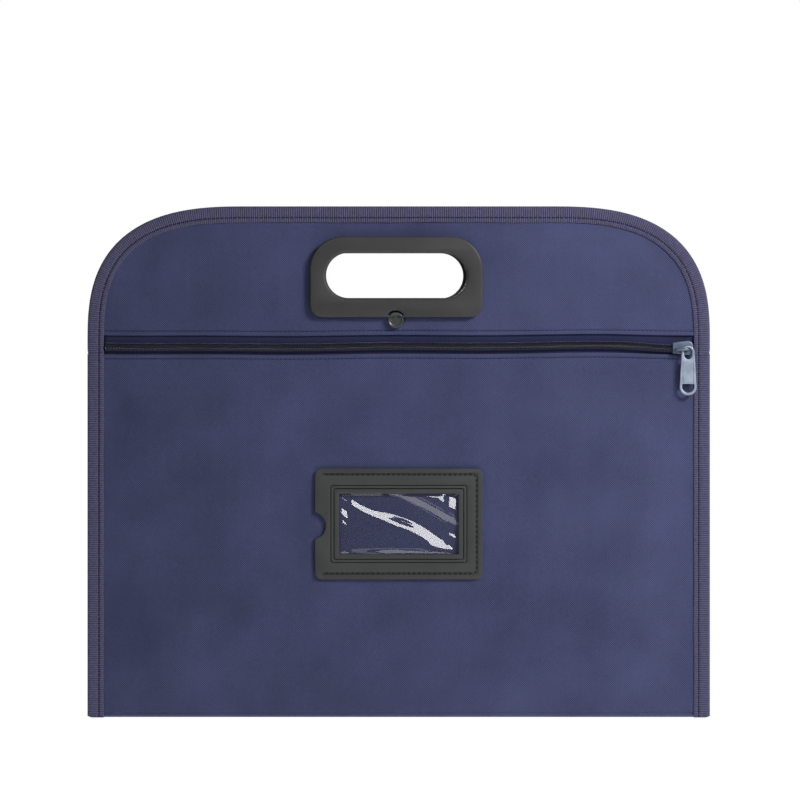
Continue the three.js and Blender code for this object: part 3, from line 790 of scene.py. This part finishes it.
def coil_half(side, name, node):
    """One half of the coil: a filament wound round and round, its loops meeting at the middle."""
    turns = int((2 * ZIP_HALF - 1) / COIL_PITCH)
    angle = np.linspace(0, math.tau * turns, turns * COIL_STEPS + 1) + (0 if side > 0 else math.pi)
    x = -ZIP_HALF + 0.5 + COIL_PITCH * (angle - angle[0]) / math.tau + 0.35 * np.cos(angle)
    rise = COIL_RISE * smooth_step((ZIP_HALF - 14 - x) / 30)
    z = ZIP_Z + rise + zip_wobble(x) + side * (COIL_CENTRE + COIL_REACH * np.cos(angle))
    y = COIL_MID + COIL_DEPTH * np.sin(angle)
    tube = tube_piece(name, np.stack([x, y, z], axis=1), COIL_RADIUS, 6, coil_plastic)
    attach(tube, "bag_body")
    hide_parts(node)


def tube_piece(name, path, radius, around, material):
    """A round tube along a path of (x, y, z)."""
    along = np.gradient(path, axis=0)
    along /= np.linalg.norm(along, axis=1)[:, None]
    side = np.cross(along, (0.0, 1.0, 0.013))
    side /= np.linalg.norm(side, axis=1)[:, None]
    up = np.cross(side, along)
    turn = np.linspace(0, math.tau, around, endpoint=False)
    rings = (
        path[:, None]
        + radius * side[:, None] * np.cos(turn)[None, :, None]
        + radius * up[:, None] * np.sin(turn)[None, :, None]
    )
    return new_piece(name, rings.reshape(-1, 3), tube_faces(len(path), around), material)


def zip_tape(side, name, node):
    """A zip tape behind the coil, from near the middle to under the hem."""
    reach = high("zip_tape_upper", Z) - ZIP_Z
    rows = np.linspace(0.5, reach, 12)
    x = np.linspace(-ZIP_HALF, ZIP_HALF, 160)
    z = ZIP_Z + side * rows[:, None] + zip_wobble(x)[None, :]
    y = np.full_like(z, middle("zip_tape_upper", Y))
    verts = np.stack([np.broadcast_to(x, z.shape), y, z], axis=-1).reshape(-1, 3)
    piece = thicken(new_piece(name, verts, grid_faces(len(rows), len(x)), zip_cloth), 0.35)
    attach(piece, "bag_body")
    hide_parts(node)


# ---------- Flat moulded parts ----------


# Points closer than this, in metres, are one point.
WELD = 1e-6


def flat_part(name, outline, holes, front, back, bevel, material):
    """A plate in X and Z with rounded edges, from outlines of (x, z) points."""
    curve = bpy.data.curves.new(name, "CURVE")
    curve.dimensions = "2D"
    curve.fill_mode = "BOTH"
    for loop in (outline, *holes):
        spline = curve.splines.new("POLY")
        spline.points.add(len(loop) - 1)
        inset = offset_loop(np.asarray(loop, float), bevel if loop is outline else -bevel)
        for point, (x, z) in zip(spline.points, inset):
            point.co = (x * MM, z * MM, 0, 1)
        spline.use_cyclic_u = True
    curve.extrude = max(WELD, ((back - front) / 2 - bevel) * MM)
    curve.bevel_depth = bevel * MM
    curve.bevel_resolution = 3
    piece = bpy.data.objects.new(name, curve)
    bpy.context.collection.objects.link(piece)
    bpy.context.view_layer.update()
    mesh = bpy.data.meshes.new_from_object(piece.evaluated_get(bpy.context.evaluated_depsgraph_get()))
    bpy.data.objects.remove(piece)
    co = points_of(mesh)
    verts = np.stack([co[:, 0], (front + back) / 2 - co[:, 2], co[:, 1]], axis=1)
    faces = [tuple(p.vertices) for p in mesh.polygons]
    made = new_piece(name, verts, faces, material)
    weld = made.modifiers.new("Weld", "WELD")
    weld.merge_threshold = WELD
    bpy.context.view_layer.objects.active = made
    bpy.ops.object.modifier_apply(modifier="Weld")
    made.data.polygons.foreach_set("use_smooth", [True] * len(made.data.polygons))
    made.data.set_sharp_from_angle(angle=math.radians(40))
    return made


def offset_loop(loop, inward):
    """A counter-clockwise closed loop moved inwards."""
    ahead = np.roll(loop, -1, axis=0) - loop
    behind = loop - np.roll(loop, 1, axis=0)
    ahead /= np.linalg.norm(ahead, axis=1)[:, None] + 1e-9
    behind /= np.linalg.norm(behind, axis=1)[:, None] + 1e-9
    along = ahead + behind
    along /= np.linalg.norm(along, axis=1)[:, None] + 1e-9
    return loop + np.stack([-along[:, 1], along[:, 0]], axis=1) * inward


def arc(x, z, radius, start, end, steps=14):
    angle = np.linspace(start, end, steps + 1)
    return np.stack([x + radius * np.cos(angle), z + radius * np.sin(angle)], axis=1)


def rounded(left, right, bottom, top, radius, steps, top_radius=None):
    """A rounded rectangle, counter-clockwise from its lower right corner."""
    up = top_radius or radius
    quarter = math.pi / 2
    return np.concatenate([
        arc(right - radius, bottom + radius, radius, -quarter, 0, steps),
        arc(right - up, top - up, up, 0, quarter, steps),
        arc(left + up, top - up, up, quarter, 2 * quarter, steps),
        arc(left + radius, bottom + radius, radius, 2 * quarter, 3 * quarter, steps),
    ])


RING_THICKNESS = 3.4
# The collar starts this far inside the ring and reaches this far outwards from the hand hole.
COLLAR_LAP = 1
COLLAR_WALL = 1.2
# The grips' lower edge keeps this far from the stud's axis.
NOTCH = 5.85


def grip_outline(x):
    """The grip's outer edge, with room for the stud in its lower side."""
    half = (high("front_grip_outer", X) - low("front_grip_outer", X)) / 2
    bottom = low("front_grip_outer", Z)
    whole = rounded(x - half, x + half, bottom, high("front_grip_outer", Z), 7.5, 24, 20)
    reach = math.acos((bottom - STUD_Z) / NOTCH)
    bite = arc(STUD_X, STUD_Z, NOTCH, math.pi / 2 + reach, math.pi / 2 - reach, 28)
    return np.concatenate([whole, bite])


def hand_loop(x, grow=0.0):
    half_x, half_z = HAND_HALF[0] + grow, HAND_HALF[1] + grow
    return rounded(x - half_x, x + half_x, HAND_Z - half_z, HAND_Z + half_z, half_z - 0.02, 24)


def outer_grip(name, node, x, outward, body):
    """The visible ring and the collar that lines the hand hole."""
    front, back = low(node, Y), high(node, Y)
    if outward < 0:
        face = front + RING_THICKNESS
        ring_depths, collar_depths = (front, face), (face - COLLAR_LAP, back)
    else:
        face = back - RING_THICKNESS
        ring_depths, collar_depths = (face, back), (front, face + COLLAR_LAP)
    ring = flat_part(name, grip_outline(x), [hand_loop(x)], *ring_depths, 1.0, grip_plastic)
    wall = hand_loop(x, COLLAR_WALL), [hand_loop(x, -COLLAR_LIP)]
    collar = flat_part(name + "_collar", *wall, *collar_depths, 0.3, grip_plastic)
    piece = joined([ring, collar], name)
    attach(piece, body)
    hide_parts(node)


def inner_grip(name, node, x, body):
    """The clamping ring inside the bag."""
    front, back = low(node, Y), high(node, Y)
    if body == "bag_body":
        front = DIVIDER_MID + 0.4
    else:
        back = REAR_MID - CLOTH / 2 - 0.1
    hole = hand_loop(x, COLLAR_WALL + 0.2)
    piece = flat_part(name, grip_outline(x), [hole], front, back, 0.6, grip_plastic)
    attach(piece, body)
    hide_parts(node)


# ---------- Press stud ----------


def turned(name, profile, steps=64):
    """A turned piece on the stud's axis from (radius, depth) pairs."""
    turn = np.linspace(0, math.tau, steps, endpoint=False)
    verts = [
        (STUD_X + r * math.cos(a), y, STUD_Z + r * math.sin(a)) for r, y in profile for a in turn
    ]
    return new_piece(name, verts, tube_faces(len(profile), steps), stud_metal)


def stud_cap():
    front, back = low("stud_cap", Y), UPPER_MID - CLOTH / 2 - 0.1
    profile = [
        (0.02, front + 0.42), (2.0, front + 0.42), (3.3, front + 0.44), (3.6, front + 0.38),
        (3.85, front + 0.1), (4.15, front), (4.5, front + 0.12), (4.85, front + 0.5),
        (5.05, front + 1.0), (5.12, front + 1.7), (5.0, back - 0.1), (4.8, back), (1.4, back),
        (1.4, high("stud_cap", Y)), (0.02, high("stud_cap", Y)),
    ]
    piece = turned("stud_cap_shell", profile)
    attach(piece, "bag_body")
    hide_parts("stud_cap")


def stud_rivet():
    front, back = low("stud_rivet", Y), high("stud_rivet", Y)
    face = REAR_MID + CLOTH / 2 + 0.1
    profile = [
        (0.02, front), (1.4, front), (1.4, face), (4.9, face), (5.1, face + 0.2), (5.12, face + 0.6),
        (4.9, face + 1.1), (4.2, face + 1.5), (2.5, back - 0.05), (0.02, back),
    ]
    piece = turned("stud_rivet_head", profile)
    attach(piece, "rear_flap")
    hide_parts("stud_rivet")


# ---------- Label holder ----------

FRAME_HALF = ((high("label_frame", X) - low("label_frame", X)) / 2, high("label_frame", Z) - LABEL_Z)
FRAME_RADIUS = 4.0
FRAME_STEPS = 10
WINDOW_HALF = (36.5, 18.5)
NOTCH_RADIUS = 8.4
NOTCH_IN = 6.6


def on_label(half_x, half_z, radius, steps):
    """A rounded rectangle centred on the label holder."""
    return rounded(-half_x, half_x, LABEL_Z - half_z, LABEL_Z + half_z, radius, steps)


def around_window(grow, radius):
    half_x, half_z = WINDOW_HALF[0] + grow, WINDOW_HALF[1] + grow
    return on_label(half_x, half_z, radius, 6)


def thumb_notch(left):
    """Points down the left edge round the thumb notch, from top to bottom."""
    centre = left + NOTCH_IN - NOTCH_RADIUS
    reach = math.acos((left - centre) / NOTCH_RADIUS)
    return arc(centre, LABEL_Z - 1, NOTCH_RADIUS, reach, -reach, 26)


def frame_outline():
    loop = on_label(*FRAME_HALF, FRAME_RADIUS, FRAME_STEPS)
    split = 3 * (FRAME_STEPS + 1)
    return np.concatenate([loop[:split], thumb_notch(-FRAME_HALF[0]), loop[split:]])


# The stitched channel runs along the top, right and bottom, between these distances in from the edge.
CHANNEL_OUT, CHANNEL_IN = 2.8, 4.2
CHANNEL_LEFT = 4.4
CHANNEL_STEPS = 8


def channel_side(inset, radius, left):
    """A line along the top, right and bottom, from the lower left to the upper left."""
    half_x, half_z = FRAME_HALF[0] - inset, FRAME_HALF[1] - inset
    loop = on_label(half_x, half_z, radius, CHANNEL_STEPS)[:2 * (CHANNEL_STEPS + 1)]
    return np.concatenate([[(left, LABEL_Z - half_z)], loop, [(left, LABEL_Z + half_z)]])


def label_frame():
    """Layers of soft plastic: a base, a rim, a broad band with the thumb notch, and stepped window bands."""
    front, back = low("label_frame", Y), high("label_frame", Y)
    hole = around_window(0, 0.8)
    left = -FRAME_HALF[0] + CHANNEL_LEFT
    rim = np.concatenate([channel_side(0, FRAME_RADIUS, left), channel_side(CHANNEL_OUT, 2.0, left)[::-1]])
    edge = frame_outline()
    band = np.concatenate([channel_side(CHANNEL_IN, 2.2, left), left_edge(left)])
    # Name, outline, hole, distances from the front and back, and bevel.
    layers = (
        ("frame_base", edge, hole, 1.0, 0.0, 0.25),
        ("frame_rim", rim, None, 0.5, 0.1, 0.3),
        ("frame_band", band, around_window(5.2, 1.4), 0.4, 0.1, 0.3),
        ("frame_step_out", around_window(4.6, 1.3), around_window(3.3, 1.1), 0.25, 0.1, 0.22),
        ("frame_step_in", around_window(2.7, 1.0), hole, 0.0, 0.1, 0.3),
    )
    made = []
    for name, outline, inner, sunk, short, bevel in layers:
        holes = [] if inner is None else [inner]
        made.append(flat_part(name, outline, holes, front + sunk, back - short, bevel, label_pvc))
    piece = joined(made, "label_frame_moulding")
    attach(piece, "bag_body")
    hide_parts("label_frame")
    path = channel_side((CHANNEL_OUT + CHANNEL_IN) / 2, 2.1, left + 1.5)
    path = np.stack([path[:, 0], np.full(len(path), front + 0.9), path[:, 1]], axis=1)
    thread = stitches("label_stitches", path, FRONTWARDS, 2.0, 1.1, 0.34, black_thread)
    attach(thread, "bag_body")


def left_edge(left):
    """The frame's left end from its top to its bottom, round the thumb notch."""
    half_x, half_z = FRAME_HALF
    bottom, top = LABEL_Z - half_z, LABEL_Z + half_z
    loop = on_label(half_x, half_z, FRAME_RADIUS, FRAME_STEPS)
    upper, lower = loop[2 * (FRAME_STEPS + 1):3 * (FRAME_STEPS + 1)], loop[3 * (FRAME_STEPS + 1):]
    return np.concatenate([[(left, top)], upper, thumb_notch(-half_x), lower, [(left, bottom)]])


# The slope at which the film shows the front soft box to someone straight ahead, and its direction.
FILM_SLOPE = 0.205
FACING = (0.467, 0.884)
# The film dips no further back than this, which keeps it clear of the cloth.
FILM_DIP = 0.55
# The film's edges end this far inside the CAD's film, under the frame.
FILM_INSET = 4


def slope_band(across, width):
    """A ramp of even slope, width wide, that runs out level on both sides."""
    t = across / (width / 2)
    return -FILM_SLOPE * width / 2 * t / (1 + np.abs(t) ** 8) ** 0.125


def film_height(x, z):
    """How far the film stands forward: a long slanting fold, pulled corners and small ripples."""
    fold_line = -0.49 * x + 0.8 + 2.2 * np.sin(x / 9.5 + 0.6)
    width = 3.8 + 4.2 * smooth_step((x + 16) / 18) - 2.4 * smooth_step((x - 18) / 16)
    from_fold = (z - fold_line) * FACING[1]
    height = slope_band(from_fold, width) * np.exp(-((from_fold / 20) ** 4))
    towards = FACING[0] * x + FACING[1] * z
    height += (slope_band(towards - 26.5, 8) + 0.75) * smooth_step((towards - 13) / 8)
    height += slope_band(FACING[0] * (x - 33) + FACING[1] * (z + 6), 4.6) * smooth_step((x - 26) / 6)
    height += slope_band(0.6 * (x + 33.5) + 0.8 * (z - 7), 4.4) * smooth_step((-28.5 - x) / 3)
    height += slope_band(0.6 * (x + 33) + 0.8 * (z - 0.5), 2.6) * smooth_step((-29 - x) / 3)
    height += 0.34 * np.exp(-(((x - 2.5) / 5.0) ** 2) - ((from_fold - 0.2) / 0.9) ** 2)
    height += 0.55 * np.exp(-(((x + 4) / 26) ** 2) - ((z + 14.5) / 2.4) ** 2)
    height += 0.3 * np.exp(-(((x - 6) / 12) ** 2) - ((z - 11 + 0.3 * x) / 2.0) ** 2)
    height += 0.1 * waves(x, z * 1.3, 71, 26) + 0.012 * waves(x, z, 72, 8)
    return np.maximum(height, -FILM_DIP)


def label_film():
    """Clear film behind the window, held at its edges and rumpled between them."""
    half_x, half_z = high("label_window", X) - FILM_INSET, high("label_window", Z) - LABEL_Z - FILM_INSET
    x, z = np.meshgrid(np.linspace(-half_x, half_x, 220), np.linspace(-half_z, half_z, 120))
    inside = smooth_step((half_x - np.abs(x)) / 4) * smooth_step((half_z - np.abs(z)) / 3.5)
    y = middle("label_window", Y) - 0.1 - inside * film_height(x, z)
    verts = np.stack([x, y, z + LABEL_Z], axis=-1).reshape(-1, 3)
    piece = new_piece("label_film", verts, grid_faces(*x.shape), clear_film)
    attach(piece, "bag_body")
    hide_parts("label_window")


# ---------- Slider and pull ----------

PEG_X = middle("zip_pull", X)
PEG_Z = high("zip_pull", Z) - 2.2
# Radii of the slider's round end and of its bridge.
SLIDER_NOSE = 3.6
BRIDGE_RADIUS = 0.85


def zip_slider():
    left, right = low("zip_slider", X), high("zip_slider", X)
    bottom, top = low("zip_slider", Z), high("zip_slider", Z)
    bridge_front = low("zip_slider", Y)
    plate_front = bridge_front + 3.3
    back = high("zip_slider", Y)
    nose = SLIDER_NOSE
    body = np.concatenate([
        arc(right - nose, bottom + nose, nose, -math.pi / 2, 0, 10),
        arc(right - nose, top - nose, nose, 0, math.pi / 2, 10),
        [(left + 4.5, top - 0.55), (left, top - 1.3), (left, bottom + 1.3), (left + 4.5, bottom + 0.55)],
    ])
    plate = flat_part("slider_plate", body, [], plate_front, plate_front + 1.5, 0.55, shaded_slider_paint)
    skirt_front, skirt_back = plate_front + 0.9, plate_front + 2.1
    skirt = flat_part("slider_skirt", offset_loop(body, 0.5), [], skirt_front, skirt_back, 0.3, shaded_slider_paint)
    under = flat_part("slider_under", offset_loop(body, 0.4), [], back - 0.75, back, 0.2, shaded_slider_paint)
    # The bridge leaves the plate at its left, runs over it and comes down at the peg.
    path = np.array([
        (left + 2.0, plate_front + 0.9), (left + 2.0, plate_front - 1.0), (left + 2.5, plate_front - 2.2),
        (left + 4.0, bridge_front + 0.7), (left + 6.0, bridge_front + 0.55),
        (PEG_X - 1.3, bridge_front + 0.7), (PEG_X - 0.2, plate_front - 1.9),
        (PEG_X, plate_front - 0.8), (PEG_X, plate_front + 0.8),
    ])
    fine = evenly(path, 0.25)
    for _ in range(6):
        fine[1:-1] = (fine[:-2] + 2 * fine[1:-1] + fine[2:]) / 4
    line = np.stack([fine[:, 0], fine[:, 1], np.full(len(fine), PEG_Z)], axis=1)
    bridge = tube_piece("slider_bridge", line, BRIDGE_RADIUS, 16, shaded_slider_paint)
    piece = joined([plate, skirt, under, bridge], "slider_casting")
    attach(piece, "slider")
    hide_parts("zip_slider")


def zip_pull():
    top_half, foot_half = 3.95, 5.15
    front, back = low("zip_pull", Y), high("zip_pull", Y)
    ring_top = high("zip_pull", Z)
    foot_z = low("zip_pull", Z) + foot_half
    outline = np.concatenate([
        arc(PEG_X, foot_z, foot_half, -math.pi, 0, 30),
        arc(PEG_X, ring_top - top_half, top_half, 0, math.pi, 30),
    ])
    eyelet = np.concatenate([
        arc(PEG_X, ring_top - 5.8, 2.4, -math.pi, 0, 18),
        arc(PEG_X, ring_top - 3.6, 2.4, 0, math.pi, 18),
    ])
    eye = np.concatenate([
        arc(PEG_X, foot_z + 0.1, 3.7, -math.pi, 0, 24),
        [(PEG_X + 3.7, foot_z + 1.9), (PEG_X - 3.7, foot_z + 1.9)],
    ])
    blade = flat_part("pull_blade", outline, [eyelet, eye], front + 0.25, back, 0.35, slider_paint)
    pad = rounded(PEG_X - 3.2, PEG_X + 2.7, foot_z + 2.6, foot_z + 15.6, 0.5, 5)
    raised = flat_part("pull_pad", pad, [], front - 0.05, front + 0.6, 0.2, slider_paint)
    rib = rounded(PEG_X + 3.3, PEG_X + 4.1, foot_z + 2.2, foot_z + 15.2, 0.35, 4)
    edge_rib = flat_part("pull_rib", rib, [], front + 0.05, front + 0.6, 0.15, slider_paint)
    piece = joined([blade, raised, edge_rib], "pull_casting")
    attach(piece, "pull")
    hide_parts("zip_pull")


# ---------- Stage, light and camera ----------


def stage_and_light():
    """A pale floor below the bag, which hangs by its grips, a white surround and four soft boxes."""
    bpy.ops.mesh.primitive_plane_add(size=1, location=(0, 4.4, -0.3))
    floor = bpy.context.object
    floor.name = "floor"
    floor.scale = (12, 10.4, 1)
    glow = dict(Emission_Color=(1, 1, 1, 1), Emission_Strength=0.9)
    pale = Nodes("floor_paint", (0.95, 0.95, 0.95), 0.9, **glow)
    floor.data.materials.append(pale.material)
    world = bpy.data.worlds.new("studio")
    bpy.context.scene.world = world
    world.use_nodes = True
    tree = world.node_tree
    sky = tree.nodes["Background"]
    seen = tree.nodes.new("ShaderNodeLightPath")
    level = tree.nodes.new("ShaderNodeMapRange")
    level.inputs["To Min"].default_value = 0.1
    level.inputs["To Max"].default_value = 1.0
    tree.links.new(seen.outputs["Is Camera Ray"], level.inputs["Value"])
    tree.links.new(level.outputs["Result"], sky.inputs["Strength"])
    sky.inputs["Color"].default_value = (1, 1, 1, 1)
    middle_high = (0, 0, 0.15)
    label = (0, 0, LABEL_Z * MM)
    soft_box("key", (0.75, -0.62, 0.8), middle_high, 0.34, 17)
    soft_box("front", (0.35, -1.75, 0.78), label, 0.5, 4.4)
    soft_box("fill", (-0.2, -1.9, -0.42), label, 0.5, 0.45)
    soft_box("back", (-0.9, 1.7, 1.1), middle_high, 0.7, 34)


def soft_box(name, place, aim, size, power):
    """An area light of the given width in metres and power in watts."""
    light = bpy.data.lights.new(name, "AREA")
    light.shape = "RECTANGLE"
    light.size = size
    light.size_y = size * 0.7
    light.energy = power
    lamp = bpy.data.objects.new(name, light)
    bpy.context.collection.objects.link(lamp)
    point(lamp, place, aim)


def point(obj, place, aim):
    obj.location = place
    obj.rotation_euler = (Vector(aim) - Vector(place)).to_track_quat("-Z", "Y").to_euler()


# The picture's width and the camera's height as shares of the bag's, and the distance in metres.
PICTURE_WIDTH = 1.287
CAMERA_HEIGHT = 0.621
CAMERA_DISTANCE = 2.6


def camera():
    """Level with the bag's upper half, straight in front, with room round it."""
    low_corner, high_corner = cad_box
    width = PICTURE_WIDTH * (high_corner[X] - low_corner[X])
    data = bpy.data.cameras.new("camera")
    data.sensor_width = 36
    data.lens = data.sensor_width * CAMERA_DISTANCE / width
    eye = bpy.data.objects.new("camera", data)
    bpy.context.collection.objects.link(eye)
    aim = (0.0008, 0, CAMERA_HEIGHT * high_corner[Z])
    point(eye, (aim[X], -CAMERA_DISTANCE, aim[Z]), aim)
    bpy.context.scene.camera = eye
    bpy.context.scene.view_settings.view_transform = "Standard"


camera()
stage_and_light()
pocket_panel()
upper_panel()
divider_panel()
rear_panel()
side_tape(-1, "left")
side_tape(1, "right")
front_mouth_tape()
rear_mouth_tape()
binding_stitches()
zip_stitches()
zip_tape(1, "zip_cloth_upper", "zip_tape_upper")
zip_tape(-1, "zip_cloth_lower", "zip_tape_lower")
coil_half(1, "coil_filament_upper", "zip_coil_upper")
coil_half(-1, "coil_filament_lower", "zip_coil_lower")
outer_grip("front_grip_ring", "front_grip_outer", FRONT_GRIP_X, -1, "bag_body")
outer_grip("rear_grip_ring", "rear_grip_outer", REAR_GRIP_X, 1, "rear_flap")
inner_grip("front_grip_clamp", "front_grip_inner", FRONT_GRIP_X, "bag_body")
inner_grip("rear_grip_clamp", "rear_grip_inner", REAR_GRIP_X, "rear_flap")
stud_cap()
stud_rivet()
label_frame()
label_film()
zip_slider()
zip_pull()
for node in ("stud_socket", "stud_post"):
    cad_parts[node].material_slots[0].material = stud_metal
